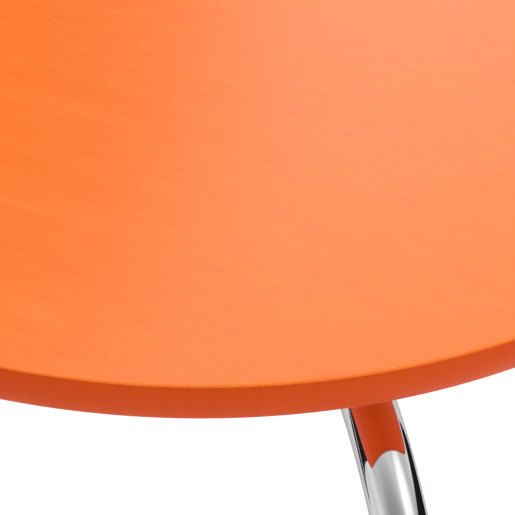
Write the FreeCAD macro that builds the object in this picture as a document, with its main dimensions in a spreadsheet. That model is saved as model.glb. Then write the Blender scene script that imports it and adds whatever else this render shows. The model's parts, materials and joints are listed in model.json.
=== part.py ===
import FreeCAD, Part
import math
import os
import re

import Sketcher

# Stacking chair: a one-piece moulded plywood shell on four bent steel tubes that meet in a hub
# under the seat. The origin is on the floor under the middle of the chair, +Z is up, and the sitter
# faces -Y. Left and right are the sitter's, so left is +X.
# Hub coordinates are the same axes with the hub axis at x = y = 0.

DIMENSIONS = {
    # Overall layout
    "hub_offset": -49.6,
    # Plywood shell
    "shell_thickness": 10,
    "shell_rim_round": 1.2,
    "front_edge_height": 446.3,
    "front_reach": 194,
    "front_half_width": 200,
    "front_squareness": 2.3,
    "waist_half_width": 172,
    "waist_distance": 385,
    "back_half_width": 200,
    "back_widest_distance": 595,
    "back_top_squareness": 2.5,
    "shell_length": 748,
    # Leg tubes
    "tube_diameter": 14,
    "tube_wall": 2,
    "hub_tube_height": 402.6,
    "leg_inner_end": 13,
    "leg_kink_reach": 72,
    "leg_kink_radius": 60,
    "leg_bend_radius": 75,
    "front_leg_bearing": 45,
    "front_rise": 12.8,
    "front_apex_reach": 171,
    "front_splay": 5.5,
    "rear_leg_bearing": 40,
    "rear_rise": 4.4,
    "rear_apex_reach": 222,
    "rear_splay": 5,
    # Hub
    "plate_radius": 65,
    "plate_thickness": 3,
    "lower_plate_radius": 40,
    "lower_plate_thickness": 2.5,
    "boss_radius": 10,
    "block_radius": 62,
    "screw_circle_radius": 48,
    "screw_hole_radius": 3.3,
    "insert_radius": 4.5,
    "insert_length": 10,
    "insert_hole_depth": 11.8,
    # Mounting screws and washers, M6
    "screw_radius": 3,
    "screw_length": 16,
    "screw_head_radius": 5.25,
    "screw_head_height": 3.3,
    "screw_socket_radius": 2.3,
    "screw_head_edge": 0.4,
    "screw_tip_length": 0.8,
    "screw_tip_cut": 0.6,
    "washer_radius": 6.2,
    "washer_thickness": 1.6,
    "washer_clearance": 0.2,
    # Hub cover, its M5 screw and the stacking ring
    "cover_radius": 68.5,
    "cover_wall": 2.5,
    "cover_bottom_height": 388.5,
    "cover_top_height": 411,
    "cover_corner_radius": 10,
    "cover_slot_clearance": 0.4,
    "cover_screw_radius": 2.5,
    "cover_screw_length": 12,
    "cover_screw_clearance": 0.3,
    "cover_screw_head_radius": 4.75,
    "cover_screw_head_height": 2.1,
    "cover_screw_recess_radius": 6.5,
    "cover_screw_recess_depth": 2.4,
    "ring_inner_radius": 30,
    "ring_outer_radius": 40,
    "ring_thickness": 3,
    "ring_edge_round": 0.8,
    # Rubber buffers between the tubes and the shell
    "buffer_reach": 140,
    "buffer_length": 24,
    "buffer_width": 20,
    "buffer_grip": 2,
    "buffer_corner_round": 4,
    # Swivelling glides, with the ball centre as their own origin
    "ball_height": 8,
    "ball_radius": 4.5,
    "socket_radius": 4.55,
    "neck_radius": 2.6,
    "collar_bottom": 9.5,
    "collar_top": 12.5,
    "plug_core_radius": 4.3,
    "plug_rib_radius": 4.98,
    "plug_rib_pitch": 6,
    "plug_rib_ramp": 0.4,
    "plug_rib_width": 1.4,
    "plug_rib_foot": 2.2,
    "pad_radius": 13,
    "pad_top_radius": 8.5,
    "pad_mouth_radius": 5.2,
    "socket_mouth_radius": 3.9,
    "pad_bottom_height": 1.2,
    "pad_side_height": 4,
    "pad_top_height": 11.8,
    "pad_dome_radius": 12,
    "sole_radius": 12,
    "sole_thickness": 2.5,
}

# Angle of the shell's side profile above the horizontal, in degrees, against the distance along it
# from the front.
PROFILE_ANGLES = [
    (0, 7), (45, 1), (110, -5), (190, -5), (260, -1), (325, 9), (368, 27), (405, 50),
    (442, 70), (485, 77), (560, 77.5), (640, 73.5), (720, 69.5), (765, 68),
]
# How far the shell's sides curl up, 200 mm out from its middle, against the same distance.
SIDE_LIFTS = [
    (0, 0.3), (60, 0.8), (120, 4.8), (200, 12.5), (290, 15.5),
    (385, 14.5), (480, 18), (600, 25), (765, 22),
]
LIFT_WIDTH = 200

# Blocks that are trimmed to the shell start this tall, which is more than the room under it.
BLANK_HEIGHT = 60

# Each leg's end of the chair and its sign along X and Y from the hub.
LEGS = {
    "front_left": ("front", 1, -1),
    "front_right": ("front", -1, -1),
    "rear_left": ("rear", 1, 1),
    "rear_right": ("rear", -1, 1),
}

doc = FreeCAD.newDocument("StackingChair")
sheet = doc.addObject("Spreadsheet::Sheet", "Dimensions")
for row, (alias, number) in enumerate(DIMENSIONS.items(), start=1):
    sheet.set(f"A{row}", alias)
    sheet.set(f"B{row}", str(number))
    sheet.setAlias(f"B{row}", alias)
doc.recompute()

nodes = {}


# ---------------------------------------------------------------- helpers

def value(expression):
    """Number that a sheet expression gives now."""
    return float(sheet.evalExpression(str(expression)))


def linked(expression):
    """Write an expression's sheet aliases the way another object refers to them."""
    def refer(word):
        return f"Dimensions.{word[0]}" if word[0] in DIMENSIONS else word[0]

    return re.sub(r"[a-z]\w*", refer, str(expression))


def bind(target, prop, expression):
    """Tie a property to the sheet."""
    target.setExpression(prop, linked(expression))


def hub_placement():
    """Move hub coordinates into the chair's frame."""
    return FreeCAD.Placement(FreeCAD.Vector(0, value("hub_offset"), 0), FreeCAD.Rotation())


def new_body(label):
    """Empty PartDesign body that is written out under its label."""
    body = doc.addObject("PartDesign::Body", label)
    body.Label = label
    nodes[label] = body
    return body


def new_sketch(body, name, role, offset=None):
    """Sketch on one of its body's origin planes."""
    sketch = body.newObject("Sketcher::SketchObject", f"{body.Label}_{name}")
    plane = next(item for item in body.Origin.OriginFeatures if item.Role == role)
    sketch.AttachmentSupport = [(plane, "")]
    sketch.MapMode = "FlatFace"
    if offset is not None:
        sketch.AttachmentOffset = offset
    return sketch


def add_segment(sketch, start, end, turn):
    """Add a straight line, or an arc that turns left or right.

    Returns its number in the sketch and which of its ends are the start and the end.
    """
    if turn is None:
        return sketch.addGeometry(Part.LineSegment(start, end), False), 1, 2
    radius = value(turn[0])
    half = (end - start) / 2
    to_centre = FreeCAD.Vector(-half.y, half.x, 0).normalize()
    to_centre *= math.sqrt(max(radius ** 2 - half.Length ** 2, 0)) * (1 if turn[1] == "left" else -1)
    centre = start + half + to_centre
    first, last = (start, end) if turn[1] == "left" else (end, start)
    first_angle = math.atan2(first.y - centre.y, first.x - centre.x)
    last_angle = math.atan2(last.y - centre.y, last.x - centre.x)
    if last_angle <= first_angle:
        last_angle += 2 * math.pi
    circle = Part.Circle(centre, FreeCAD.Vector(0, 0, 1), radius)
    index = sketch.addGeometry(Part.ArcOfCircle(circle, first_angle, last_angle), False)
    return (index, 1, 2) if turn[1] == "left" else (index, 2, 1)


def add_chain(sketch, corners, turns=None, closed=True):
    """Draw a chain of corners given as sheet expressions.

    turns maps the number of each segment that is an arc to its radius and the side it turns to.
    """
    turns = turns or {}
    points = [FreeCAD.Vector(value(x), value(y), 0) for x, y in corners]
    count = len(points) if closed else len(points) - 1
    segments = [
        add_segment(sketch, points[i], points[(i + 1) % len(points)], turns.get(i)) for i in range(count)
    ]
    for i in range(count if closed else count - 1):
        geometry, _, end = segments[i]
        following, start, _ = segments[(i + 1) % count]
        sketch.addConstraint(Sketcher.Constraint("Coincident", geometry, end, following, start))
    for i, (x, y) in enumerate(corners):
        geometry, start, end = segments[min(i, count - 1)]
        vertex = start if i < count else end
        for kind, expression in (("DistanceX", x), ("DistanceY", y)):
            size = Sketcher.Constraint(kind, -1, 1, geometry, vertex, value(expression))
            bind(sketch, f"Constraints[{sketch.addConstraint(size)}]", expression)
    for i, (radius, _) in turns.items():
        index = sketch.addConstraint(Sketcher.Constraint("Radius", segments[i][0], value(radius)))
        bind(sketch, f"Constraints[{index}]", radius)
    return sketch


def add_circle(sketch, radius, x="0", y="0"):
    """Add a circle whose radius and centre follow the sheet."""
    centre = FreeCAD.Vector(value(x), value(y), 0)
    circle = sketch.addGeometry(Part.Circle(centre, FreeCAD.Vector(0, 0, 1), value(radius)), False)
    for kind, expression in (("DistanceX", x), ("DistanceY", y)):
        index = sketch.addConstraint(Sketcher.Constraint(kind, -1, 1, circle, 3, value(expression)))
        bind(sketch, f"Constraints[{index}]", expression)
    index = sketch.addConstraint(Sketcher.Constraint("Radius", circle, value(radius)))
    bind(sketch, f"Constraints[{index}]", radius)


def revolve(body, corners, turns=None):
    """Turn a profile of radius and height round the body's Z axis."""
    profile = add_chain(new_sketch(body, "profile", "XZ_Plane"), corners, turns)
    revolution = body.newObject("PartDesign::Revolution", f"{body.Label}_revolution")
    revolution.Profile = profile
    revolution.ReferenceAxis = (profile, ["V_Axis"])
    revolution.Angle = 360
    profile.Visibility = False
    doc.recompute()
    return revolution


def raised(height):
    """Offset that lifts a sketch on the XY plane to a height."""
    return FreeCAD.Placement(FreeCAD.Vector(0, 0, value(height)), FreeCAD.Rotation())


def cut(body, name, sketch, depth, reversed_cut=False):
    """Pocket a sketch into the body, and stop if it removes nothing."""
    before = body.Shape.Volume
    pocket = body.newObject("PartDesign::Pocket", f"{body.Label}_{name}")
    pocket.Profile = sketch
    pocket.Reversed = reversed_cut
    bind(pocket, "Length", depth)
    doc.recompute()
    if not body.Shape.Volume < before - 0.1:
        raise RuntimeError(f"{pocket.Label} cuts nothing")
    return pocket


def repeat_around(body, name, feature, count):
    """Repeat a feature evenly round the body's Z axis."""
    before = body.Shape.Volume
    pattern = body.newObject("PartDesign::PolarPattern", f"{body.Label}_{name}")
    pattern.Originals = [feature]
    axis = next(item for item in body.Origin.OriginFeatures if item.Role == "Z_Axis")
    pattern.Axis = (axis, [""])
    pattern.Angle = 360
    pattern.Occurrences = count
    body.Tip = pattern
    doc.recompute()
    if not body.Shape.Volume < before - 0.1:
        raise RuntimeError(f"{pattern.Label} repeats nothing")


def cut_hex_socket(body, radius, height, depth):
    """Hexagonal key socket that opens downwards."""
    corners = [(f"{radius} * cos({60 * i})", f"{radius} * sin({60 * i})") for i in range(6)]
    sketch = add_chain(new_sketch(body, "socket", "XY_Plane", raised(height)), corners)
    cut(body, "socket_cut", sketch, depth, reversed_cut=True)


def add_feature(label, shape, placement):
    """Keep a shape worked out here as a named sub-part."""
    feature = doc.addObject("Part::Feature", label)
    feature.Label = label
    feature.Shape = shape
    feature.Placement = placement
    nodes[label] = feature
    return feature


def add_group(label, pattern_body, placements):
    """Copies of one body as separate solids in one sub-part; the pattern itself isn't kept."""
    copies = []
    for placement in placements:
        copy = pattern_body.Shape.copy()
        copy.Placement = placement
        copies.append(copy)
    del nodes[pattern_body.Label]
    add_feature(label, Part.makeCompound(copies), hub_placement())


def solid_at(shape, point):
    """The solid of a shape that holds a point."""
    return next(solid for solid in shape.Solids if solid.isInside(point, 0.01, True))


# ---------------------------------------------------------------- plywood shell

def smooth_curve(knots):
    """Natural cubic spline through (position, value) knots, as a function."""
    xs = [knot[0] for knot in knots]
    ys = [knot[1] for knot in knots]
    last = len(knots) - 1
    gaps = [xs[i + 1] - xs[i] for i in range(last)]
    diagonal = [1.0] * (last + 1)
    curving = [0.0] * (last + 1)
    for i in range(1, last):
        share = gaps[i - 1] / diagonal[i - 1] if i > 1 else 0.0
        diagonal[i] = 2 * (gaps[i - 1] + gaps[i]) - share * gaps[i - 1]
        slope_change = (ys[i + 1] - ys[i]) / gaps[i] - (ys[i] - ys[i - 1]) / gaps[i - 1]
        curving[i] = 6 * slope_change - share * curving[i - 1]
    for i in range(last - 1, 0, -1):
        following = curving[i + 1] if i < last - 1 else 0.0
        curving[i] = (curving[i] - gaps[i] * following) / diagonal[i]
    curving[last] = 0.0

    def at(x):
        i = max(0, min(last - 1, sum(1 for knot in xs[1:-1] if knot <= x)))
        after, before, gap = x - xs[i], xs[i + 1] - x, gaps[i]
        bent = (curving[i] * before ** 3 + curving[i + 1] * after ** 3) / (6 * gap)
        return (
            bent
            + (ys[i] / gap - curving[i] * gap / 6) * before
            + (ys[i + 1] / gap - curving[i + 1] * gap / 6) * after
        )

    return at


class ShellForm:
    """The upper face of the shell, in hub coordinates.

    A place on it is a distance along its middle from the front, and a distance out from the middle.
    """

    margin = 30
    step = 1
    row_gap = 12.5
    column_gap = 20
    half_span = 220

    def __init__(self):
        self.angle = smooth_curve(PROFILE_ANGLES)
        self.lift = smooth_curve(SIDE_LIFTS)
        self.length = value("shell_length")
        start = FreeCAD.Vector(0, -value("front_reach"), value("front_edge_height"))
        self.middle = [start - self.tangent(0) * self.margin]
        for i in range(int(self.length) + 2 * self.margin):
            halfway = (i + 0.5) * self.step - self.margin
            self.middle.append(self.middle[-1] + self.tangent(halfway) * self.step)

    def held(self, distance):
        """Distance kept within the profile's ends, where it runs straight on."""
        return min(max(distance, 0), PROFILE_ANGLES[-1][0])

    def tangent(self, distance):
        angle = math.radians(self.angle(self.held(distance)))
        return FreeCAD.Vector(0, math.cos(angle), math.sin(angle))

    def point(self, distance, across):
        place = (distance + self.margin) / self.step
        i = min(int(place), len(self.middle) - 2)
        centre = self.middle[i] + (self.middle[i + 1] - self.middle[i]) * (place - i)
        along = self.tangent(distance)
        upward = FreeCAD.Vector(0, -along.z, along.y)
        lift = self.lift(self.held(distance)) * (across / LIFT_WIDTH) ** 2
        return centre + upward * lift + FreeCAD.Vector(across, 0, 0)

    def half_width(self, distance):
        """Half the width of the outline along its two sides, between its rounded ends."""
        waist, waist_at = value("waist_half_width"), value("waist_distance")
        if distance < waist_at:
            wide, wide_at = value("front_half_width"), value("front_reach")
        else:
            wide, wide_at = value("back_half_width"), value("back_widest_distance")
        share = (distance - wide_at) / (waist_at - wide_at)
        return waist + (wide - waist) * (1 + math.cos(math.pi * share)) / 2

    def outline(self):
        """Points round the shell's edge, as distance along the middle and distance out from it."""
        front, back = value("front_reach"), value("back_widest_distance")
        points = []
        end_steps, side_steps = 24, 26
        for i in range(-end_steps, end_steps):
            turn = math.pi / 2 * i / end_steps
            power = 2 / value("front_squareness")
            across = value("front_half_width") * math.copysign(abs(math.sin(turn)) ** power, turn)
            points.append((front - front * math.cos(turn) ** power, across))
        for i in range(side_steps):
            distance = front + (back - front) * i / side_steps
            points.append((distance, self.half_width(distance)))
        for i in range(-end_steps, end_steps):
            turn = math.pi / 2 * i / end_steps
            power = 2 / value("back_top_squareness")
            across = -value("back_half_width") * math.copysign(abs(math.sin(turn)) ** power, turn)
            points.append((back + (self.length - back) * math.cos(turn) ** power, across))
        for i in range(side_steps):
            distance = back - (back - front) * i / side_steps
            points.append((distance, -self.half_width(distance)))
        return points

    def surface(self):
        """Upper face as one spline surface, a little larger than the outline all round."""
        rows = int((self.length + 2 * self.margin) / self.row_gap)
        columns = int(2 * self.half_span / self.column_gap)
        grid = []
        for i in range(rows + 1):
            distance = i * self.row_gap - self.margin
            across = [j * self.column_gap - self.half_span for j in range(columns + 1)]
            grid.append([self.point(distance, place) for place in across])
        surface = Part.BSplineSurface()
        surface.interpolate(grid)
        return surface


def make_seat_shell():
    """Moulded plywood: a trimmed face, thickened downwards, with its two arrises eased."""
    form = ShellForm()
    surface = form.surface()
    flat_points = []
    for distance, across in form.outline():
        u, v = surface.parameter(form.point(distance, across))
        flat_points.append(FreeCAD.Base.Vector2d(u, v))
    trim = Part.Geom2d.BSplineCurve2d()
    trim.interpolate(Points=flat_points, PeriodicFlag=True)
    face = Part.Face(surface, Part.Wire([trim.toShape(surface)]))
    thickness = value("shell_thickness")
    middle = form.point(value("front_reach"), 0)
    u, v = surface.parameter(middle)
    downwards = -1 if surface.normal(u, v).z > 0 else 1
    slab = face.makeOffsetShape(downwards * thickness, 1e-4, fill=True)
    solid = Part.Solid(Part.Shell(slab.Faces))
    arrises = [edge for edge in solid.Edges if edge.Length > 5 * thickness]
    rounded = solid.makeFillet(value("shell_rim_round"), arrises)
    return add_feature("seat_shell", rounded, hub_placement())


# ---------------------------------------------------------------- leg tubes

def leg_points(end):
    """Corners of a leg's centreline, as sheet expressions of reach and height.

    The reach is counted from the tube's inner end.
    """
    kink_reach = "(leg_kink_reach - leg_inner_end)"
    kink_cut = f"(leg_kink_radius * tan({end}_rise / 2))"
    apex_reach = f"({end}_apex_reach - leg_inner_end)"
    bend_start_reach = f"({apex_reach} - leg_bend_radius * sin({end}_rise))"
    bend_start_height = f"(hub_tube_height + ({bend_start_reach} - {kink_reach}) * tan({end}_rise))"
    bend_centre_height = f"({bend_start_height} - leg_bend_radius * cos({end}_rise))"
    bend_end_reach = f"({apex_reach} + leg_bend_radius * cos({end}_splay))"
    bend_end_height = f"({bend_centre_height} + leg_bend_radius * sin({end}_splay))"
    tube_end_height = f"(ball_height + collar_top * cos({end}_splay))"
    return [
        ("0", "hub_tube_height"),
        (f"{kink_reach} - {kink_cut}", "hub_tube_height"),
        (f"{kink_reach} + {kink_cut} * cos({end}_rise)", f"hub_tube_height + {kink_cut} * sin({end}_rise)"),
        (bend_start_reach, bend_start_height),
        (bend_end_reach, bend_end_height),
        (f"{bend_end_reach} + ({bend_end_height} - {tube_end_height}) * tan({end}_splay)", tube_end_height),
    ]


def leg_angle(name):
    """Direction of a leg out from the hub, in degrees anticlockwise from +X."""
    end, side, depth = LEGS[name]
    bearing = math.radians(value(f"{end}_leg_bearing"))
    return math.degrees(math.atan2(depth * math.sin(bearing), side * math.cos(bearing)))


def leg_frame(name, reach, height=0):
    """Placement with X pointing out along a leg, at a reach from the hub axis and a height."""
    turn = FreeCAD.Rotation(FreeCAD.Vector(0, 0, 1), leg_angle(name))
    place = turn.multVec(FreeCAD.Vector(reach, 0, height)) + FreeCAD.Vector(0, value("hub_offset"), 0)
    return FreeCAD.Placement(place, turn)


def make_leg(name):
    """Chromed steel tube, bent twice, with both ends cut square."""
    end = LEGS[name][0]
    body = new_body(f"leg_{name}")
    bends = {1: ("leg_kink_radius", "left"), 3: ("leg_bend_radius", "right")}
    spine = add_chain(new_sketch(body, "centreline", "XZ_Plane"), leg_points(end), bends, closed=False)
    section = new_sketch(body, "section", "YZ_Plane")
    add_circle(section, "tube_diameter / 2", y="hub_tube_height")
    add_circle(section, "tube_diameter / 2 - tube_wall", y="hub_tube_height")
    tube = body.newObject("PartDesign::AdditivePipe", f"leg_{name}_tube")
    tube.Profile = section
    tube.Spine = spine
    body.Placement = leg_frame(name, value("leg_inner_end"))
    doc.recompute()
    return body


# ---------------------------------------------------------------- hub

UPPER_PLATE_BOTTOM = "(hub_tube_height + tube_diameter / 2)"
UPPER_PLATE_TOP = f"({UPPER_PLATE_BOTTOM} + plate_thickness)"
LOWER_PLATE_TOP = "(hub_tube_height - tube_diameter / 2)"
LOWER_PLATE_BOTTOM = f"({LOWER_PLATE_TOP} - lower_plate_thickness)"
SCREW_COUNT = 4


def make_plates():
    """Two steel discs welded above and below the tubes, and the threaded boss between them."""
    upper = new_body("hub_upper_plate")
    add_disc(upper, "plate_radius", UPPER_PLATE_BOTTOM, "plate_thickness")
    hole = new_sketch(upper, "screw_hole", "XY_Plane", raised(UPPER_PLATE_BOTTOM))
    add_circle(hole, "screw_hole_radius", x="screw_circle_radius")
    drilled = cut(upper, "screw_hole_cut", hole, "plate_thickness", reversed_cut=True)
    repeat_around(upper, "screw_holes", drilled, SCREW_COUNT)

    lower = new_body("hub_lower_plate")
    add_disc(
        lower, "lower_plate_radius", LOWER_PLATE_BOTTOM, "lower_plate_thickness",
        hole="cover_screw_radius + cover_screw_clearance",
    )

    boss = new_body("hub_boss")
    add_disc(boss, "boss_radius", LOWER_PLATE_TOP, "tube_diameter", hole="cover_screw_radius")
    for body in (upper, lower, boss):
        body.Placement = hub_placement()


def add_disc(body, radius, height, thickness, hole=None):
    """Round disc on the body's axis, with an optional hole through its middle."""
    sketch = new_sketch(body, "outline", "XY_Plane", raised(height))
    add_circle(sketch, radius)
    if hole is not None:
        add_circle(sketch, hole)
    pad = body.newObject("PartDesign::Pad", f"{body.Label}_pad")
    pad.Profile = sketch
    bind(pad, "Length", thickness)
    doc.recompute()


def around_hub(height):
    """Placements of the mounting screws' axes at a height, in hub coordinates."""
    radius = value("screw_circle_radius")
    spots = []
    for i in range(SCREW_COUNT):
        angle = 2 * math.pi * i / SCREW_COUNT
        spot = FreeCAD.Vector(radius * math.cos(angle), radius * math.sin(angle), value(height))
        spots.append(FreeCAD.Placement(spot, FreeCAD.Rotation()))
    return spots


def make_mounting_block(shell):
    """Plywood disc glued under the shell and shaped to it, drilled from below for the inserts."""
    bottom = value(UPPER_PLATE_TOP)
    post = Part.makeCylinder(value("block_radius"), BLANK_HEIGHT, FreeCAD.Vector(0, 0, bottom))
    underside = shell.Shape.copy()
    underside.Placement = FreeCAD.Placement()
    block = solid_at(post.cut(underside), FreeCAD.Vector(0, 0, bottom + 1))
    for spot in around_hub(UPPER_PLATE_TOP):
        block = block.cut(Part.makeCylinder(value("insert_radius"), value("insert_hole_depth"), spot.Base))
    add_feature("mounting_block", block, hub_placement())


def make_inserts():
    """Grooved brass inserts with an M6 bore, pressed into the block."""
    pattern = new_body("threaded_insert")
    groove = "insert_radius - 0.5"
    revolve(pattern, [
        ("screw_radius", "0"),
        ("insert_radius", "0"),
        ("insert_radius", "insert_length * 0.3"),
        (groove, "insert_length * 0.35"),
        (groove, "insert_length * 0.45"),
        ("insert_radius", "insert_length * 0.5"),
        ("insert_radius", "insert_length * 0.75"),
        (groove, "insert_length * 0.8"),
        (groove, "insert_length"),
        ("screw_radius", "insert_length"),
    ])
    add_group("threaded_inserts", pattern, around_hub(UPPER_PLATE_TOP))


def make_button_screw(label, thread, length, head, head_height, socket):
    """Button head screw that points up, with the underside of its head at height 0."""
    body = new_body(label)
    revolve(
        body,
        [
            ("0", f"-{head_height}"),
            (f"{head} / 2", f"-{head_height}"),
            (head, "-screw_head_edge"),
            (head, "0"),
            (thread, "0"),
            (thread, f"{length} - screw_tip_length"),
            (f"{thread} - screw_tip_cut", length),
            ("0", length),
        ],
        {1: (f"{head} * 0.85", "left")},
    )
    cut_hex_socket(body, socket, f"-{head_height}", f"{head_height} * 0.6")
    return body


def make_mounting_fasteners():
    """M6 screws up through the hub plate, each on a plain washer."""
    washer = new_body("mounting_washer")
    add_disc(washer, "washer_radius", "0", "washer_thickness", hole="screw_radius + washer_clearance")
    add_group("mounting_washers", washer, around_hub(f"{UPPER_PLATE_BOTTOM} - washer_thickness"))
    screw = make_button_screw(
        "mounting_screw", "screw_radius", "screw_length",
        "screw_head_radius", "screw_head_height", "screw_socket_radius",
    )
    add_group("mounting_screws", screw, around_hub(f"{UPPER_PLATE_BOTTOM} - washer_thickness"))


def make_cover():
    """Moulded dish that hides the hub, with a slot in its wall for each tube and a seat for its screw."""
    body = new_body("centre_cover")
    inner = "(cover_radius - cover_wall)"
    corner = "cover_corner_radius"
    inner_corner = "(cover_corner_radius - cover_wall)"
    floor_top = "(cover_bottom_height + cover_wall)"
    recess_top = "(cover_bottom_height + cover_screw_recess_depth)"
    boss_foot = "(boss_radius + 0.5)"
    revolve(
        body,
        [
            ("cover_screw_radius + cover_screw_clearance", recess_top),
            ("cover_screw_recess_radius", recess_top),
            ("cover_screw_recess_radius", "cover_bottom_height"),
            (f"cover_radius - {corner}", "cover_bottom_height"),
            ("cover_radius", f"cover_bottom_height + {corner}"),
            ("cover_radius", "cover_top_height"),
            (inner, "cover_top_height"),
            (inner, f"{floor_top} + {inner_corner}"),
            (f"{inner} - {inner_corner}", floor_top),
            (boss_foot, floor_top),
            ("boss_radius - 0.5", LOWER_PLATE_BOTTOM),
            ("cover_screw_radius + cover_screw_clearance", LOWER_PLATE_BOTTOM),
        ],
        {3: (corner, "left"), 7: (inner_corner, "right")},
    )
    slot = "(tube_diameter / 2 + cover_slot_clearance)"
    above = "(cover_top_height + 1)"
    for name in LEGS:
        # The plane's cutting side faces +Y before it is turned towards the leg.
        turn = FreeCAD.Rotation(FreeCAD.Vector(0, 1, 0), leg_angle(name) - 90)
        turned = FreeCAD.Placement(FreeCAD.Vector(), turn)
        sketch = new_sketch(body, f"slot_{name}", "XZ_Plane", turned)
        corners = [
            (f"-{slot}", above),
            (f"-{slot}", "hub_tube_height"),
            ("0", f"hub_tube_height - {slot}"),
            (slot, "hub_tube_height"),
            (slot, above),
        ]
        add_chain(sketch, corners, {1: (slot, "left"), 2: (slot, "left")})
        cut(body, f"slot_{name}_cut", sketch, "cover_radius + 1")
    body.Placement = hub_placement()

    screw = make_button_screw(
        "cover_screw", "cover_screw_radius", "cover_screw_length",
        "cover_screw_head_radius", "cover_screw_head_height", "screw_socket_radius * 0.75",
    )
    screw.Placement = hub_placement() * raised(recess_top)


def make_stacking_ring():
    """Flat rubber ring under the cover, which rests on the seat of the chair below in a stack."""
    body = new_body("stacking_ring")
    bottom = "(cover_bottom_height - ring_thickness)"
    soft = "ring_edge_round"
    revolve(
        body,
        [
            (f"ring_inner_radius + {soft}", bottom),
            (f"ring_outer_radius - {soft}", bottom),
            ("ring_outer_radius", f"{bottom} + {soft}"),
            ("ring_outer_radius", "cover_bottom_height"),
            ("ring_inner_radius", "cover_bottom_height"),
            ("ring_inner_radius", f"{bottom} + {soft}"),
        ],
        {1: (soft, "left"), 5: (soft, "left")},
    )
    body.Placement = hub_placement()


# ---------------------------------------------------------------- buffers and glides

def make_buffer(name, shell, leg):
    """Rubber saddle that clips over a tube and bears on the underside of the shell."""
    end = LEGS[name][0]
    run = value("buffer_reach") - value("leg_kink_reach")
    tube_height = value("hub_tube_height") + run * math.tan(math.radians(value(f"{end}_rise")))
    length, width = value("buffer_length"), value("buffer_width")
    base = FreeCAD.Vector(-length / 2, -width / 2, -value("buffer_grip"))
    block = Part.makeBox(length, width, BLANK_HEIGHT, base)
    uprights = [edge for edge in block.Edges if abs(edge.tangentAt(edge.FirstParameter).z) > 0.99]
    block = block.makeFillet(value("buffer_corner_round"), uprights)
    place = leg_frame(name, value("buffer_reach"), tube_height)
    tube = seen_from(place, leg.Shape)
    above_tube = FreeCAD.Vector(0, 0, value("tube_diameter") / 2 + 1)
    saddle = solid_at(block.cut(tube).cut(seen_from(place, shell.Shape)), above_tube)
    add_feature(f"seat_buffer_{name}", saddle, place)


def seen_from(place, shape):
    """Copy of a shape as it lies in a placement's own axes."""
    moved = shape.copy()
    moved.Placement = place.inverse() * shape.Placement
    return moved


def make_glide(name):
    """Ball-ended plug in the foot of a tube, and the felt-soled pad that snaps on its ball."""
    end = LEGS[name][0]
    _, (foot_reach, foot_height) = leg_points(end)[-2:]
    splay = math.radians(value(f"{end}_splay"))
    drop = value(foot_height) - value("ball_height")
    reach = value("leg_inner_end") + value(foot_reach) + drop * math.tan(splay)
    ball = leg_frame(name, reach, value("ball_height"))
    leaning = FreeCAD.Rotation(FreeCAD.Vector(0, 1, 0), -math.degrees(splay))
    lean = FreeCAD.Placement(FreeCAD.Vector(), leaning)

    plug = new_body(f"glide_insert_{name}")
    neck_top_of_ball = "sqrt(ball_radius ^ 2 - neck_radius ^ 2)"
    corners = [
        ("0", "-ball_radius"),
        ("neck_radius", neck_top_of_ball),
        ("neck_radius", "collar_bottom - 3"),
        ("neck_radius + 2", "collar_bottom"),
        ("tube_diameter / 2 - plug_rib_ramp", "collar_bottom"),
        ("tube_diameter / 2", "collar_bottom + plug_rib_ramp"),
        ("tube_diameter / 2", "collar_top"),
        ("plug_core_radius", "collar_top"),
    ]
    for rib in range(1, 5):
        rib_bottom = f"collar_top + plug_rib_pitch * {rib}"
        corners += [
            ("plug_core_radius", rib_bottom),
            ("plug_rib_radius", f"{rib_bottom} + plug_rib_ramp"),
            ("plug_rib_radius", f"{rib_bottom} + plug_rib_width"),
            ("plug_core_radius", f"{rib_bottom} + plug_rib_foot"),
        ]
    corners += [
        ("plug_core_radius", "collar_top + plug_rib_pitch * 5 - 1"),
        ("plug_core_radius - 1", "collar_top + plug_rib_pitch * 5"),
        ("0", "collar_top + plug_rib_pitch * 5"),
    ]
    revolve(plug, corners, {0: ("ball_radius", "left")})
    plug.Placement = ball * lean

    pad = new_body(f"glide_pad_{name}")
    socket_mouth = "sqrt(socket_radius ^ 2 - socket_mouth_radius ^ 2)"
    recess_top = "sole_thickness - ball_height"
    revolve(
        pad,
        [
            ("0", recess_top),
            ("sole_radius", recess_top),
            ("sole_radius", "pad_bottom_height - ball_height"),
            ("pad_radius", "pad_bottom_height - ball_height"),
            ("pad_radius", "pad_side_height - ball_height"),
            ("pad_top_radius", "pad_top_height - ball_height"),
            ("pad_mouth_radius", "pad_top_height - ball_height"),
            ("socket_mouth_radius", socket_mouth),
            ("0", "-socket_radius"),
        ],
        {4: ("pad_dome_radius", "left"), 7: ("socket_radius", "right")},
    )
    pad.Placement = ball

    sole = new_body(f"glide_sole_{name}")
    add_disc(sole, "sole_radius", "-ball_height", "sole_thickness")
    sole.Placement = ball
    print(f"glide {name}: ball at {ball.Base.x:.3f}, {ball.Base.y:.3f}, {ball.Base.z:.3f}")


# ---------------------------------------------------------------- chair

def check_document():
    """Stop on any object that failed to build, and on any sub-part without one sound shape."""
    for item in doc.Objects:
        if "Invalid" in item.State or "Error" in item.State:
            raise RuntimeError(f"{item.Label} failed: {item.State}")
    for label, item in nodes.items():
        if item.Shape.isNull() or not item.Shape.isValid() or not item.Shape.Solids:
            raise RuntimeError(f"{label} has no valid solid")


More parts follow.
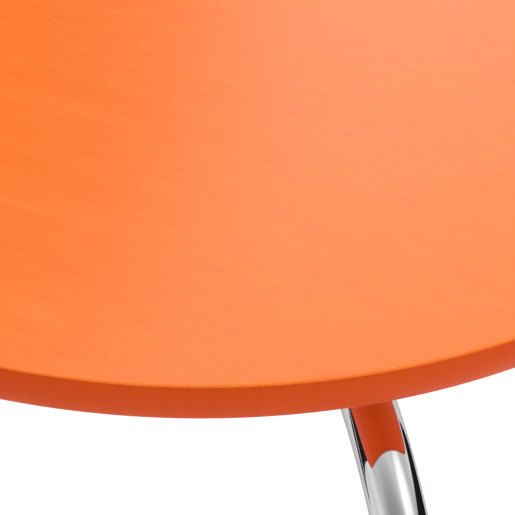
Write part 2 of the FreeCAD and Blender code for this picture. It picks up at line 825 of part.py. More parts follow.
def main():
    shell = make_seat_shell()
    make_mounting_block(shell)
    make_inserts()
    make_plates()
    make_mounting_fasteners()
    make_cover()
    make_stacking_ring()
    for name in LEGS:
        leg = make_leg(name)
        make_buffer(name, shell, leg)
        make_glide(name)
    doc.recompute()
    check_document()
    os.makedirs("parts", exist_ok=True)
    for label, item in nodes.items():
        item.Shape.exportStep(f"parts/{label}.step")
    whole = Part.makeCompound([item.Shape for item in nodes.values()]).BoundBox
    print(f"{len(nodes)} sub-parts, x {whole.XMin:.2f} to {whole.XMax:.2f}, "
          f"y {whole.YMin:.2f} to {whole.YMax:.2f}, z {whole.ZMin:.2f} to {whole.ZMax:.2f}")


main()
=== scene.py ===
import json
import math

import bpy
import numpy as np
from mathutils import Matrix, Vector


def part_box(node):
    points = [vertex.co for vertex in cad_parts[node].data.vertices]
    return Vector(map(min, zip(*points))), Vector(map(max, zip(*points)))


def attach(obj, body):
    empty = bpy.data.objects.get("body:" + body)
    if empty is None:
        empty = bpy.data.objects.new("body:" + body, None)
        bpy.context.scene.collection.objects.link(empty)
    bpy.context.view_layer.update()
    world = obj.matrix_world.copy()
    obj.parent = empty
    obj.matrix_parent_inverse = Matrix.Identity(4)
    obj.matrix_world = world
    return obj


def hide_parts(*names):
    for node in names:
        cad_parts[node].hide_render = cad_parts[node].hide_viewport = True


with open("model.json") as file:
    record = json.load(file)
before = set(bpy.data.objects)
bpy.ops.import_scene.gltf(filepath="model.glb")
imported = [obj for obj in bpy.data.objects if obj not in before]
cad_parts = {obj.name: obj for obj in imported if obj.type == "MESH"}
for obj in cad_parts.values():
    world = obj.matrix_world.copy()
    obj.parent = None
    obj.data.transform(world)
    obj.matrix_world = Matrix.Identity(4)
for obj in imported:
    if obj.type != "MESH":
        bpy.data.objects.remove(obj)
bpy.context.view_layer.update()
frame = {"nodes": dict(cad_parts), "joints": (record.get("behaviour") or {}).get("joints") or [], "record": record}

# Everything is in metres, with +Z up and the sitter facing -Y. The hub axis is where the legs meet.

# Plywood shell: an outline on a smooth upper face, thickened downwards.
SHELL_THICKNESS = 0.010
RIM_ROUND = 0.0012
# The edge bulges: where it meets its arrises it leans in by this much, in radians.
CROWN_LEAN = 0.35
# Strips of the upper arris that take the face's own coat.
ARRIS_SPLIT = 4
FRONT_EDGE_HEIGHT = 0.4463
FRONT_REACH = 0.194
FRONT_HALF_WIDTH = 0.200
FRONT_SQUARENESS = 2.3
WAIST_HALF_WIDTH = 0.172
WAIST_DISTANCE = 0.385
BACK_HALF_WIDTH = 0.200
BACK_WIDEST_DISTANCE = 0.595
BACK_TOP_SQUARENESS = 2.5
SHELL_LENGTH = 0.748
LIFT_WIDTH = 0.200
# Mesh steps round the shell, from its middle to its edge, over an arris and down the edge.
SHELL_AROUND = 600
SHELL_RINGS = 60
ARRIS_STEPS = 8
EDGE_STEPS = 10
# Above 1, the rings come closer together towards the edge.
RING_CROWDING = 1.15
# Points for each stretch of the outline before it is evened out.
OUTLINE_POINTS = 4000
# Distance along the middle from the front edge, and the profile's angle there in degrees.
PROFILE_ANGLES = (
    (0, 7), (0.045, 1), (0.110, -5), (0.190, -5), (0.260, -1), (0.325, 9), (0.368, 27), (0.405, 50),
    (0.442, 70), (0.485, 77), (0.560, 77.5), (0.640, 73.5), (0.720, 69.5), (0.765, 68),
)
# The same distance, and how far the sides curl up at LIFT_WIDTH from the middle.
SIDE_LIFTS = (
    (0, 0.0003), (0.060, 0.0008), (0.120, 0.0048), (0.200, 0.0125), (0.290, 0.0155),
    (0.385, 0.0145), (0.480, 0.018), (0.600, 0.025), (0.765, 0.022),
)

# Leg tubes.
TUBE_RADIUS = 0.007
TUBE_WALL = 0.002
LEG_INNER_END = 0.013
KINK_REACH = 0.072
KINK_RADIUS = 0.060
BEND_RADIUS = 0.075
# From the glide's ball up to the tube's foot, along the leg.
COLLAR_TOP = 0.0125
TUBE_EDGE_BREAK = 0.0003
# Mesh steps round the tube, and along its kink, its bend and its straight foot.
TUBE_SIDES = 96
KINK_STEPS = 12
BEND_STEPS = 110
STRAIGHT_STEPS = 24
# For each end of the chair: rise and splay in degrees, and the reach of the bend's highest point.
LEG_SHAPES = {"front": (12.8, 5.5, 0.171), "rear": (4.4, 5.0, 0.222)}
LEG_NAMES = ("front_left", "front_right", "rear_left", "rear_right")

# Studio light.
FLOOR_GLOW = 0.2
WATTS_PER_RADIANCE = 4
# The place on the leg's bend that the lamps and two flags stand round.
BEND_HEIGHT = 0.418
BEND_REACH = 0.206
# The place on the seat that the seat's flag stands round, in X and Y from the hub.
SEAT_PLACE = (-0.09, -0.05)
# The dome's bands: sine of the height above the horizon, and brightness.
DOME_BANDS = ((0, 0.93), (0.08, 1.03), (0.18, 1.12), (0.45, 0.76), (0.7, 0.76), (0.9, 0.88), (1, 0.92))
# Soft spots in the dome: azimuth, elevation, inner and outer radius in degrees, and added share.
DOME_SPOTS = (
    (-168, 40, 12, 46, -0.47),
    (-150, 4, 10, 40, -0.4),
    (-76, 52, 3, 24, 1.0),
    (-52, 14, 3, 15, -0.35),
)
# Soft boxes: azimuth, elevation, distance, width and height, and radiance.
FRONT_BOX = (-83, 50, 2.0, (1.15, 1.05), 1.6)
SIDE_BOX = (15, 32, 2.6, (2.0, 1.6), 2.6)
# Black flags: azimuth at the floor, azimuth at the top and height, for each end, then the distance.
LONG_FLAG = (((-66, -66, 0.98), (-10, -17, 0.42)), 1.15)
NARROW_FLAG = (((97, 102.3, 0.62), (100.5, 120.3, 0.62)), 0.8)
SEAT_FLAG = (((35.4, 35.4, 1.2), (66, 66, 1.2)), 0.8)

# The photograph's view. The aim is measured from the point of the rim nearest to the camera.
VIEW_AZIMUTH = -59.25
VIEW_ELEVATION = 40
VIEW_DISTANCE = 0.700
FIELD_OF_VIEW = 10.5
AIM_RIGHT = 0.01235
AIM_BEHIND = 0.05908
AIM_OUTLINE_STEPS = 20000


# ---------------------------------------------------------------- places that come from the frame

def middle_of(node):
    low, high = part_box(node)
    return (low + high) / 2


HUB = middle_of("hub_boss")
JOINTS = {joint["name"]: joint for joint in frame["joints"]}


# ---------------------------------------------------------------- mesh helpers

def new_mesh(name, vertices, faces):
    """Smooth-shaded mesh object in the scene."""
    mesh = bpy.data.meshes.new(name)
    mesh.from_pydata([tuple(v) for v in vertices], [], faces)
    mesh.validate()
    mesh.shade_smooth()
    piece = bpy.data.objects.new(name, mesh)
    bpy.context.scene.collection.objects.link(piece)
    return piece


def ring_faces(first, second, count):
    """Quads between two closed rings of the same count, given each ring's first vertex."""
    return [
        (first + i, first + (i + 1) % count, second + (i + 1) % count, second + i) for i in range(count)
    ]


# ---------------------------------------------------------------- shell

def smooth_curve(knots):
    """Natural cubic spline through (position, value) knots, as a function of an array."""
    xs = np.array([knot[0] for knot in knots], float)
    ys = np.array([knot[1] for knot in knots], float)
    gaps = np.diff(xs)
    slopes = np.diff(ys) / gaps
    size = len(xs)
    matrix = np.eye(size)
    bends = np.zeros(size)
    for i in range(1, size - 1):
        matrix[i, i - 1:i + 2] = gaps[i - 1], 2 * (gaps[i - 1] + gaps[i]), gaps[i]
        bends[i] = 6 * (slopes[i] - slopes[i - 1])
    curving = np.linalg.solve(matrix, bends)

    def at(position):
        x = np.clip(position, xs[0], xs[-1])
        i = np.clip(np.searchsorted(xs, x, side="right") - 1, 0, size - 2)
        after, before, gap = x - xs[i], xs[i + 1] - x, gaps[i]
        bent = (curving[i] * before ** 3 + curving[i + 1] * after ** 3) / (6 * gap)
        left = (ys[i] / gap - curving[i] * gap / 6) * before
        right = (ys[i + 1] / gap - curving[i + 1] * gap / 6) * after
        return bent + left + right

    return at


PROFILE_ANGLE = smooth_curve(PROFILE_ANGLES)
SIDE_LIFT = smooth_curve(SIDE_LIFTS)
PROFILE_STEP = 0.001
PROFILE_MARGIN = 0.030


def profile_middle():
    """Side profile of the upper face: distances along it, and its Y and height at each."""
    distances = np.arange(-PROFILE_MARGIN, SHELL_LENGTH + PROFILE_MARGIN, PROFILE_STEP)
    angles = np.radians(PROFILE_ANGLE(distances + PROFILE_STEP / 2))
    y = np.concatenate([[0], np.cumsum(np.cos(angles))]) * PROFILE_STEP
    z = np.concatenate([[0], np.cumsum(np.sin(angles))]) * PROFILE_STEP
    distances = np.append(distances, distances[-1] + PROFILE_STEP)
    start = np.interp(0, distances, y), np.interp(0, distances, z)
    return distances, y - start[0] + HUB.y - FRONT_REACH, z - start[1] + FRONT_EDGE_HEIGHT


MIDDLE_DISTANCES, MIDDLE_Y, MIDDLE_Z = profile_middle()


def shell_point(distance, across):
    """Point of the upper face, for arrays of distance along the middle and distance out from it."""
    angle = np.radians(PROFILE_ANGLE(distance))
    lift = SIDE_LIFT(distance) * (across / LIFT_WIDTH) ** 2
    y = np.interp(distance, MIDDLE_DISTANCES, MIDDLE_Y) - np.sin(angle) * lift
    z = np.interp(distance, MIDDLE_DISTANCES, MIDDLE_Z) + np.cos(angle) * lift
    return np.stack([HUB.x + across, y, z], axis=-1)


def unit(vectors):
    return vectors / np.linalg.norm(vectors, axis=-1, keepdims=True)


def shell_normal(distance, across):
    """Upward unit normal of the upper face."""
    small = 0.001
    along = shell_point(distance + small, across) - shell_point(distance - small, across)
    sideways = shell_point(distance, across + small) - shell_point(distance, across - small)
    return unit(np.cross(sideways, along))


def side_half_width(distance):
    """Half the width of the outline along its two sides, between its rounded ends."""
    towards_front = distance < WAIST_DISTANCE
    wide = np.where(towards_front, FRONT_HALF_WIDTH, BACK_HALF_WIDTH)
    wide_at = np.where(towards_front, FRONT_REACH, BACK_WIDEST_DISTANCE)
    share = (distance - wide_at) / (WAIST_DISTANCE - wide_at)
    return WAIST_HALF_WIDTH + (wide - WAIST_HALF_WIDTH) * (1 + np.cos(np.pi * share)) / 2


def shell_outline(steps):
    """Evenly spaced points round the shell's edge, as distance along and distance across."""
    turn = np.linspace(-np.pi / 2, np.pi / 2, OUTLINE_POINTS, endpoint=False)
    front_power = 2 / FRONT_SQUARENESS
    top_power = 2 / BACK_TOP_SQUARENESS
    side = np.linspace(FRONT_REACH, BACK_WIDEST_DISTANCE, OUTLINE_POINTS, endpoint=False)
    back_again = FRONT_REACH + BACK_WIDEST_DISTANCE - side
    distance = np.concatenate([
        FRONT_REACH - FRONT_REACH * np.cos(turn) ** front_power,
        side,
        BACK_WIDEST_DISTANCE + (SHELL_LENGTH - BACK_WIDEST_DISTANCE) * np.cos(turn) ** top_power,
        back_again,
    ])
    across = np.concatenate([
        FRONT_HALF_WIDTH * np.sign(turn) * np.abs(np.sin(turn)) ** front_power,
        side_half_width(side),
        -BACK_HALF_WIDTH * np.sign(turn) * np.abs(np.sin(turn)) ** top_power,
        -side_half_width(back_again),
    ])
    points = np.stack([distance, across], axis=-1)
    closed = np.vstack([points, points[:1]])
    travelled = np.concatenate([[0], np.cumsum(np.linalg.norm(np.diff(closed, axis=0), axis=1))])
    places = np.linspace(0, travelled[-1], steps, endpoint=False)
    return np.stack([np.interp(places, travelled, closed[:, k]) for k in (0, 1)], axis=-1)


def make_shell():
    """Plywood shell with its two faces, its slightly crowned edge and the rounded arrises between.

    Returns the piece, whose faces are numbered 0 on top, 1 round the edge and 2 underneath.
    """
    outline = shell_outline(SHELL_AROUND)
    centre = np.array([WAIST_DISTANCE, 0.0])
    vertices, faces, grain = [], [], []

    def add_ring(points, flat):
        first = len(vertices)
        vertices.extend(points)
        grain.extend(flat)
        return first

    shares = 1 - (1 - np.linspace(0, 1, SHELL_RINGS + 1)[1:]) ** RING_CROWDING
    edge = shell_point(*outline.T)
    edge_normal = shell_normal(*outline.T)
    run = np.roll(edge, -1, axis=0) - np.roll(edge, 1, axis=0)
    outward = unit(np.cross(run, edge_normal))
    middle = shell_point(centre[:1], centre[1:])[0]
    middle_normal = shell_normal(centre[:1], centre[1:])[0]

    upper_hub = add_ring([middle], [centre])
    loops = []
    for share in shares[:-1]:
        flat = centre + (outline - centre) * share
        loops.append(add_ring(shell_point(*flat.T), flat))
    steepest = np.pi / 2 - CROWN_LEAN
    section = []
    for angle in np.linspace(0, steepest, ARRIS_STEPS + 1):
        section.append((RIM_ROUND * (1 - np.sin(angle)), RIM_ROUND * (1 - np.cos(angle))))
    side = SHELL_THICKNESS - 2 * section[-1][1]
    sagitta = side / 4 * np.tan(CROWN_LEAN)
    foot = section[-1][0]
    for share in np.linspace(0, 1, EDGE_STEPS + 1)[1:-1]:
        bulge = sagitta * (1 - (2 * share - 1) ** 2)
        section.append((foot - bulge, section[ARRIS_STEPS][1] + side * share))
    section += [(inset, SHELL_THICKNESS - drop) for inset, drop in section[ARRIS_STEPS::-1]]
    top_of_edge = len(loops)
    for inset, drop in section:
        loops.append(add_ring(edge - outward * (inset - foot) - edge_normal * drop, outline))
    foot_of_edge = len(loops) - 1
    for share in shares[-2::-1]:
        flat = centre + (outline - centre) * share
        below = shell_point(*flat.T) - shell_normal(*flat.T) * SHELL_THICKNESS
        loops.append(add_ring(below, flat))
    lower_hub = add_ring([middle - middle_normal * SHELL_THICKNESS], [centre])

    places = range(SHELL_AROUND)
    faces += [(upper_hub, loops[0] + i, loops[0] + (i + 1) % SHELL_AROUND) for i in places]
    groups = [0] * SHELL_AROUND
    for k, (first, second) in enumerate(zip(loops, loops[1:])):
        faces += [(a, d, c, b) for a, b, c, d in ring_faces(first, second, SHELL_AROUND)]
        # Faces 1 and 2 take the darker coats that paint shade on the edge and underneath.
        groups += [0 if k < top_of_edge + ARRIS_SPLIT else 2 if k >= foot_of_edge else 1] * SHELL_AROUND
    faces += [(lower_hub, loops[-1] + (i + 1) % SHELL_AROUND, loops[-1] + i) for i in places]
    groups += [2] * SHELL_AROUND
    piece = new_mesh("plywood_shell", vertices, faces)
    piece.data.polygons.foreach_set("material_index", groups)
    layer = piece.data.uv_layers.new(name="grain")
    corners = np.array([grain[loop.vertex_index] for loop in piece.data.loops])
    layer.data.foreach_set("uv", corners[:, ::-1].astype(np.float32).ravel())
    return piece


# ---------------------------------------------------------------- legs

def leg_direction(name):
    """Unit vector out from the hub along a leg, from the place of its glide's joint."""
    ball = Vector(JOINTS[f"glide_tilt_{name}"]["pos_m"])
    return (Vector((ball.x, ball.y, 0)) - Vector((HUB.x, HUB.y, 0))).normalized()


def leg_line(name):
    """Centreline of a leg as reach, height and downward slope in radians at each ring of its mesh."""
    rise, splay, apex = LEG_SHAPES[name.split("_")[0]]
    rise, splay = math.radians(rise), math.radians(splay)
    ball_height = JOINTS[f"glide_tilt_{name}"]["pos_m"][2]
    bend_start = apex - BEND_RADIUS * math.sin(rise)
    bend_centre = HUB.z + (bend_start - KINK_REACH) * math.tan(rise) - BEND_RADIUS * math.cos(rise)
    kink_start = KINK_REACH - KINK_RADIUS * math.tan(rise / 2)
    line = [(LEG_INNER_END, HUB.z, 0.0)]
    for angle in np.linspace(0, rise, KINK_STEPS):
        reach = kink_start + KINK_RADIUS * math.sin(angle)
        line.append((reach, HUB.z + KINK_RADIUS * (1 - math.cos(angle)), -angle))
    steepest = math.pi / 2 - splay
    for angle in np.linspace(-rise, steepest, BEND_STEPS):
        reach = apex + BEND_RADIUS * math.sin(angle)
        line.append((reach, bend_centre + BEND_RADIUS * math.cos(angle), angle))
    reach, height, _ = line[-1]
    end_height = ball_height + COLLAR_TOP * math.cos(splay)
    for share in np.linspace(0, 1, STRAIGHT_STEPS)[1:]:
        drop = (height - end_height) * share
        line.append((reach + drop * math.tan(splay), height - drop, steepest))
    return line


def make_leg(name):
    """Bent tube with its bore open at both ends and their edges broken."""
    line = leg_line(name)
    out = leg_direction(name)
    across = Vector((0, 0, 1)).cross(out)
    vertices, faces = [], []

    def add_ring(reach, height, slope, radius, forward):
        along = out * math.cos(slope) - Vector((0, 0, 1)) * math.sin(slope)
        upward = out * math.sin(slope) + Vector((0, 0, 1)) * math.cos(slope)
        centre = Vector((HUB.x, HUB.y, 0)) + out * reach + Vector((0, 0, height)) + along * forward
        first = len(vertices)
        for i in range(TUBE_SIDES):
            angle = 2 * math.pi * i / TUBE_SIDES
            vertices.append(centre + (across * math.cos(angle) + upward * math.sin(angle)) * radius)
        return first

    edge = TUBE_EDGE_BREAK
    bore = TUBE_RADIUS - TUBE_WALL
    loops = [
        add_ring(*line[0], bore + edge, 0),
        add_ring(*line[0], TUBE_RADIUS - edge, 0),
        add_ring(*line[0], TUBE_RADIUS, edge),
    ]
    loops += [add_ring(*place, TUBE_RADIUS, 0) for place in line[1:-1]]
    loops += [
        add_ring(*line[-1], TUBE_RADIUS, -edge),
        add_ring(*line[-1], TUBE_RADIUS - edge, 0),
        add_ring(*line[-1], bore + edge, 0),
        add_ring(*line[-1], bore, -edge),
    ]
    loops += [add_ring(*place, bore, 0) for place in line[-2:0:-1]]
    loops += [add_ring(*line[0], bore, edge)]
    for first, second in zip(loops, loops[1:] + loops[:1]):
        faces += ring_faces(first, second, TUBE_SIDES)
    return new_mesh(f"tube_{name}", vertices, faces)


# ---------------------------------------------------------------- materials

def link(tree, source, target):
    tree.links.new(source, target)


class Finish:
    """A Principled material, with short calls for the textures that feed it."""

    def __init__(self, name, **inputs):
        self.material = bpy.data.materials.new(name)
        self.material.use_nodes = True
        self.tree = self.material.node_tree
        self.shader = self.tree.nodes["Principled BSDF"]
        for key, number in inputs.items():
            self.shader.inputs[key.replace("_", " ")].default_value = number

    def node(self, kind, **settings):
        node = self.tree.nodes.new(kind)
        for key, setting in settings.items():
            setattr(node, key, setting)
        return node

    def coordinates(self, source="Object", scale=(1, 1, 1), uv=None):
        """Stretched coordinates from the object's own space, or from a named UV map."""
        mapping = self.node("ShaderNodeMapping")
        mapping.inputs["Scale"].default_value = scale
        if uv:
            place = self.node("ShaderNodeUVMap", uv_map=uv).outputs["UV"]
        else:
            place = self.node("ShaderNodeTexCoord").outputs[source]
        link(self.tree, place, mapping.inputs["Vector"])
        return mapping.outputs["Vector"]

    def noise(self, place, scale, detail=4, roughness=0.55, distortion=0.0):
        noise = self.node("ShaderNodeTexNoise")
        for key, number in (
            ("Scale", scale), ("Detail", detail), ("Roughness", roughness), ("Distortion", distortion)
        ):
            noise.inputs[key].default_value = number
        link(self.tree, place, noise.inputs["Vector"])
        return noise.outputs["Fac"]

    def spread(self, value, low, high, from_low=0.3, from_high=0.7):
        """Map a texture's range onto another range."""
        spread = self.node("ShaderNodeMapRange")
        for key, number in (
            ("From Min", from_low), ("From Max", from_high), ("To Min", low), ("To Max", high)
        ):
            spread.inputs[key].default_value = number
        link(self.tree, value, spread.inputs["Value"])
        return spread.outputs["Result"]

    def ramp(self, value, *stops):
        """Colour ramp from (place, colour) stops."""
        ramp = self.node("ShaderNodeValToRGB")
        elements = ramp.color_ramp.elements
        while len(elements) < len(stops):
            elements.new(0.5)
        for element, (place, colour) in zip(elements, stops):
            element.position = place
            element.color = (*colour, 1)
        link(self.tree, value, ramp.inputs["Fac"])
        return ramp.outputs["Color"]

    def add(self, first, second, share):
        """first + second * share."""
        total = self.node("ShaderNodeMath", operation="MULTIPLY_ADD")
        link(self.tree, second, total.inputs[0])
        total.inputs[1].default_value = share
        link(self.tree, first, total.inputs[2])
        return total.outputs[0]

    def feed(self, key, value):
        link(self.tree, value, self.shader.inputs[key])

    def bump(self, height, distance, strength=1.0):
        bump = self.node("ShaderNodeBump")
        bump.inputs["Distance"].default_value = distance
        bump.inputs["Strength"].default_value = strength
        link(self.tree, height, bump.inputs["Height"])
        link(self.tree, bump.outputs["Normal"], self.shader.inputs["Normal"])
        return bump


def lacquered_plywood(name, colours, gloss, roughness):
    """Orange satin lacquer that lets the veneer's fibres show as faint relief."""
    finish = Finish(name, Specular_IOR_Level=gloss)
    along_fibres = finish.coordinates(uv="grain", scale=(1, 0.055, 1))
    along_bands = finish.coordinates(uv="grain", scale=(1, 0.08, 1))
    fibres = finish.noise(along_fibres, 1300, detail=3, roughness=0.6)
    bands = finish.noise(along_bands, 110, detail=3, distortion=0.3)
    pores = finish.noise(finish.coordinates(uv="grain", scale=(1, 0.03, 1)), 2600, detail=2)
    clouds = finish.noise(finish.coordinates(uv="grain", scale=(1, 0.6, 1)), 9, detail=2)
    tint = finish.add(finish.add(fibres, bands, 0.35), clouds, 0.3)
    share = finish.spread(tint, 0, 1, 0.62, 1.03)
    finish.feed("Base Color", finish.ramp(share, (0, colours[0]), (1, colours[1])))
    streaks = finish.add(bands, fibres, 0.5)
    finish.feed("Roughness", finish.spread(streaks, roughness, roughness + 0.06, 0.5, 1.0))
    relief = finish.add(finish.add(fibres, pores, 0.4), bands, 0.5)
    finish.bump(relief, 0.00004, 0.4)
    return finish.material


def shell_coats():
    """The coats on the shell's face, on its edge and underneath; the edge and underside coats are darker copies of
    the face's orange, which paint shade.
    """
    return (
        lacquered_plywood("orange_lacquer", ((0.825, 0.152, 0.006), (0.85, 0.184, 0.009)), 0.19, 0.22),
        # Painted shade: the edge and underside take darker copies of the face's orange.
        lacquered_plywood("orange_lacquer_edge_painted_shade", ((0.665, 0.064, 0.001), (0.685, 0.071, 0.001)), 0.16, 0.38),
        lacquered_plywood("orange_lacquer_under_painted_shade", ((0.84, 0.072, 0.002), (0.87, 0.082, 0.004)), 0.12, 0.45),
    )


def bright_chrome():
    """Mirror chrome with hairline polishing marks and the faintest unevenness."""
    finish = Finish("bright_chrome", Metallic=1.0, Specular_Tint=(0.55, 0.54, 0.54, 1))
    marks = finish.noise(finish.coordinates(scale=(1, 1, 0.2)), 700, detail=3)
    haze = finish.noise(finish.coordinates(), 45, detail=2)
    finish.feed("Base Color", finish.ramp(haze, (0.3, (0.60, 0.60, 0.61)), (0.7, (0.63, 0.63, 0.635))))
    finish.feed("Roughness", finish.spread(finish.add(haze, marks, 0.6), 0.02, 0.04, 0.5, 1.1))
    finish.bump(marks, 0.000003, 0.3)
    return finish.material


def moulded(name, colours, roughness, scale, relief):
    """Moulded plastic or rubber with a fine texture."""
    finish = Finish(name)
    fine = finish.noise(finish.coordinates(), scale, detail=4)
    broad = finish.noise(finish.coordinates(), 30, detail=2)
    finish.feed("Base Color", finish.ramp(broad, (0.3, colours[0]), (0.7, colours[1])))
    texture = finish.add(fine, broad, 0.5)
    finish.feed("Roughness", finish.spread(texture, roughness[0], roughness[1], 0.5, 1.0))
    finish.bump(fine, relief, 0.6)
    return finish.material


def plated_steel(name, colours, roughness):
    """Zinc-plated steel with a brushed haze."""
    finish = Finish(name, Metallic=1.0)
    haze = finish.noise(finish.coordinates(), 90, detail=5)
    lines = finish.noise(finish.coordinates(scale=(1, 1, 12)), 400, detail=2)
    finish.feed("Base Color", finish.ramp(haze, (0.3, colours[0]), (0.7, colours[1])))
    brushing = finish.add(haze, lines, 0.5)
    finish.feed("Roughness", finish.spread(brushing, roughness[0], roughness[1], 0.5, 1.0))
    finish.bump(lines, 0.00001, 0.5)
    return finish.material


def bare_plywood():
    """Unlacquered plywood, with the plies as level bands on its edge."""
    finish = Finish("bare_plywood", Specular_IOR_Level=0.3)
    plies = finish.node("ShaderNodeTexWave", wave_type="BANDS", bands_direction="Z", wave_profile="SAW")
    plies.inputs["Scale"].default_value = 105
    plies.inputs["Distortion"].default_value = 0.3
    link(finish.tree, finish.coordinates(), plies.inputs["Vector"])
    fibres = finish.noise(finish.coordinates(scale=(0.06, 1, 1)), 800, detail=5)
    tone = finish.add(fibres, plies.outputs["Fac"], 0.5)
    finish.feed("Base Color", finish.ramp(tone, (0.3, (0.30, 0.17, 0.08)), (0.95, (0.62, 0.43, 0.24))))
    finish.feed("Roughness", finish.spread(fibres, 0.55, 0.75))
    finish.bump(tone, 0.00008, 0.6)
    return finish.material


def pressed_felt():
    """Grey felt of matted fibres."""
    finish = Finish("pressed_felt", Sheen_Weight=0.4, Sheen_Roughness=0.6, Specular_IOR_Level=0.2)
    fibres = finish.noise(finish.coordinates(), 2400, detail=6, roughness=0.7, distortion=1.5)
    finish.feed("Base Color", finish.ramp(fibres, (0.3, (0.10, 0.095, 0.09)), (0.7, (0.30, 0.29, 0.27))))
    finish.feed("Roughness", finish.spread(fibres, 0.85, 1.0))
    finish.bump(fibres, 0.0003, 0.8)
    return finish.material


def dress_cad_nodes():
    """Give each CAD node the material of its slot."""
    by_slot = {
        "leg_chrome": bright_chrome(),
        "block_plywood": bare_plywood(),
        "insert_brass": plated_steel("brass", ((0.62, 0.45, 0.18), (0.78, 0.60, 0.30)), (0.25, 0.4)),
        "hub_steel": plated_steel("zinc_plate", ((0.42, 0.43, 0.44), (0.58, 0.58, 0.59)), (0.3, 0.5)),
        "fastener_steel": plated_steel("bright_zinc", ((0.50, 0.51, 0.53), (0.66, 0.66, 0.68)), (0.2, 0.35)),
        "cover_plastic": moulded(
            "black_moulding", ((0.012, 0.012, 0.013), (0.02, 0.02, 0.021)), (0.38, 0.5), 1500, 0.00006
        ),
        "buffer_rubber": moulded(
            "black_rubber", ((0.012, 0.012, 0.012), (0.024, 0.024, 0.023)), (0.6, 0.8), 900, 0.0001
        ),
        "glide_plastic": moulded(
            "glide_plastic", ((0.014, 0.014, 0.015), (0.024, 0.024, 0.025)), (0.3, 0.42), 1200, 0.00004
        ),
        "sole_felt": pressed_felt(),
    }
    for entry in frame["record"]["subparts"]:
        if entry["material_slot"] in by_slot:
            node = frame["nodes"][entry["node"]]
            node.data.materials.clear()
            node.data.materials.append(by_slot[entry["material_slot"]])
    return by_slot


# ---------------------------------------------------------------- studio

def direction(azimuth, elevation):
    """Unit vector from degrees anticlockwise from +X and degrees above the horizon."""
    azimuth, elevation = math.radians(azimuth), math.radians(elevation)
    level = math.cos(elevation)
    return Vector((level * math.cos(azimuth), level * math.sin(azimuth), math.sin(elevation)))


def stage_floor():
    """Wide pale floor."""
    half = 60
    corners = [(-half, -half, 0), (half, -half, 0), (half, half, 0), (-half, half, 0)]
    floor = new_mesh("studio_floor", corners, [(0, 1, 2, 3)])
    finish = Finish("pale_floor", Roughness=0.9, Specular_IOR_Level=0.1)
    finish.shader.inputs["Base Color"].default_value = (0.86, 0.86, 0.86, 1)
    finish.shader.inputs["Emission Color"].default_value = (1, 1, 1, 1)
    finish.shader.inputs["Emission Strength"].default_value = FLOOR_GLOW
    floor.data.materials.append(finish.material)


def stage_flag(name, corners):
    """Black flag that stands on the floor and shows only in what the chrome and the lacquer reflect."""
    flag = new_mesh(name, corners, [(0, 1, 2, 3)])
    finish = Finish(name, Roughness=0.95, Specular_IOR_Level=0.0)
    finish.shader.inputs["Base Color"].default_value = (0.018, 0.016, 0.017, 1)
    flag.data.materials.append(finish.material)
    flag.visible_camera = False
    flag.visible_diffuse = False
    flag.visible_shadow = False


def flag_corners(near, spans, distance):
    """Flag round a point, from (azimuth at the floor, azimuth at the top, top height) at its two ends."""
    low, high = [], []
    for foot_azimuth, top_azimuth, top in spans:
        foot = near + direction(foot_azimuth, 0) * distance
        tip = near + direction(top_azimuth, 0) * distance
        low.append((foot.x, foot.y, 0))
        high.append((tip.x, tip.y, top))
    return [low[0], low[1], high[1], high[0]]


def soft_box(name, target, azimuth, elevation, distance, size, radiance):
    """Rectangular soft box that faces a point, unseen by the camera itself."""
    towards = direction(azimuth, elevation)
    light = bpy.data.lights.new(name, "AREA")
    light.shape = "RECTANGLE"
    light.size, light.size_y = size
    light.energy = radiance * size[0] * size[1] * WATTS_PER_RADIANCE
    lamp = bpy.data.objects.new(name, light)
    lamp.location = target + towards * distance
    lamp.rotation_euler = towards.to_track_quat("Z", "Y").to_euler()
    lamp.visible_camera = False
    bpy.context.scene.collection.objects.link(lamp)
    return lamp


def light_dome():
    """Pale surroundings, brightest near the horizon, with glows and shades that only the chair sees."""
    world = bpy.data.worlds.new("studio")
    bpy.context.scene.world = world
    world.use_nodes = True
    tree = world.node_tree
    background = tree.nodes["Background"]
    place = tree.nodes.new("ShaderNodeTexCoord").outputs["Generated"]
    parts = tree.nodes.new("ShaderNodeSeparateXYZ")
    tree.links.new(place, parts.inputs[0])
    ramp = tree.nodes.new("ShaderNodeValToRGB")
    elements = ramp.color_ramp.elements
    while len(elements) < len(DOME_BANDS):
        elements.new(0.5)
    for element, (height, level) in zip(elements, DOME_BANDS):
        element.position = height
        element.color = (level, level, level, 1)
    tree.links.new(parts.outputs["Z"], ramp.inputs["Fac"])
    strength = None
    for azimuth, elevation, inner, outer, amount in DOME_SPOTS:
        facing = tree.nodes.new("ShaderNodeVectorMath")
        facing.operation = "DOT_PRODUCT"
        tree.links.new(place, facing.inputs[0])
        facing.inputs[1].default_value = direction(azimuth, elevation)
        spot = tree.nodes.new("ShaderNodeMapRange")
        spot.interpolation_type = "SMOOTHSTEP"
        spot.inputs["From Min"].default_value = math.cos(math.radians(outer))
        spot.inputs["From Max"].default_value = math.cos(math.radians(inner))
        spot.inputs["To Max"].default_value = amount
        tree.links.new(facing.outputs["Value"], spot.inputs["Value"])
        total = tree.nodes.new("ShaderNodeMath")
        total.operation = "ADD"
        total.inputs[1].default_value = 1
        if strength:
            tree.links.new(strength, total.inputs[1])
        tree.links.new(spot.outputs["Result"], total.inputs[0])
        strength = total.outputs[0]
    seen = tree.nodes.new("ShaderNodeLightPath").outputs["Is Camera Ray"]
    choice = tree.nodes.new("ShaderNodeMix")
    tree.links.new(seen, choice.inputs["Factor"])
    tree.links.new(strength, choice.inputs["A"])
    choice.inputs["B"].default_value = 1
    tree.links.new(ramp.outputs["Color"], background.inputs["Color"])
    tree.links.new(choice.outputs["Result"], background.inputs["Strength"])


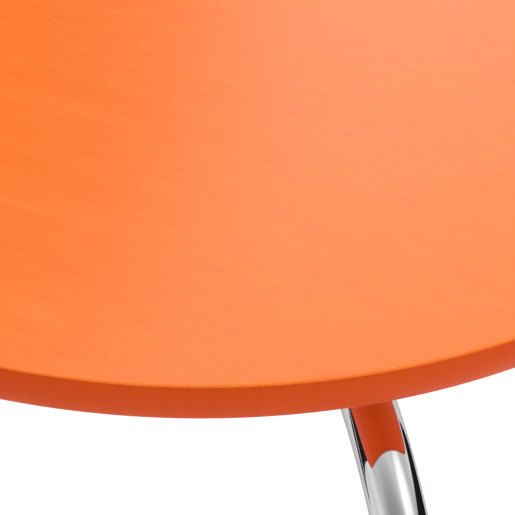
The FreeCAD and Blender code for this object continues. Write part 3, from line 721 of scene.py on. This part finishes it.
def studio():
    """Pale dome, soft boxes and black flags, placed round the bend of the front right leg."""
    bend = Vector((HUB.x, HUB.y, BEND_HEIGHT)) + leg_direction("front_right") * BEND_REACH
    light_dome()
    key = soft_box("front_box", bend, *FRONT_BOX)
    key.visible_glossy = False
    soft_box("side_box", bend, *SIDE_BOX)
    seat = Vector((HUB.x + SEAT_PLACE[0], HUB.y + SEAT_PLACE[1], 0))
    stage_flag("long_flag", flag_corners(bend, *LONG_FLAG))
    stage_flag("seat_flag", flag_corners(seat, *SEAT_FLAG))
    stage_flag("narrow_flag", flag_corners(bend, *NARROW_FLAG))


def add_camera():
    """Camera at the photograph's angle, aimed near the point of the seat's rim that is nearest to it."""
    azimuth, elevation = math.radians(VIEW_AZIMUTH), math.radians(VIEW_ELEVATION)
    level_back = Vector((math.sin(azimuth), -math.cos(azimuth), 0))
    right = Vector((math.cos(azimuth), math.sin(azimuth), 0))
    outline = shell_outline(AIM_OUTLINE_STEPS)
    edge = shell_point(*outline.T)
    nearest = int(np.argmax(edge @ np.array(level_back)))
    aim = Vector(edge[nearest]) + right * AIM_RIGHT - level_back * AIM_BEHIND
    aim.z -= SHELL_THICKNESS * shell_normal(*outline[nearest:nearest + 1].T)[0][2]
    back = level_back * math.cos(elevation) + Vector((0, 0, math.sin(elevation)))
    camera = bpy.data.cameras.new("camera")
    camera.sensor_width = 36
    camera.lens = camera.sensor_width / 2 / math.tan(math.radians(FIELD_OF_VIEW / 2))
    camera.clip_start = 0.01
    holder = bpy.data.objects.new("camera", camera)
    holder.location = aim + back * VIEW_DISTANCE
    holder.rotation_euler = (-back).to_track_quat("-Z", "Y").to_euler()
    bpy.context.scene.collection.objects.link(holder)
    bpy.context.scene.camera = holder


# ---------------------------------------------------------------- scene

def main():
    bpy.context.scene.view_settings.view_transform = "Standard"
    materials = dress_cad_nodes()
    shell = make_shell()
    for coat in shell_coats():
        shell.data.materials.append(coat)
    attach(shell, "chair")
    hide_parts("seat_shell")
    for name in LEG_NAMES:
        tube = make_leg(name)
        tube.data.materials.append(materials["leg_chrome"])
        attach(tube, "chair")
        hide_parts(f"leg_{name}")
    add_camera()
    stage_floor()
    studio()


main()
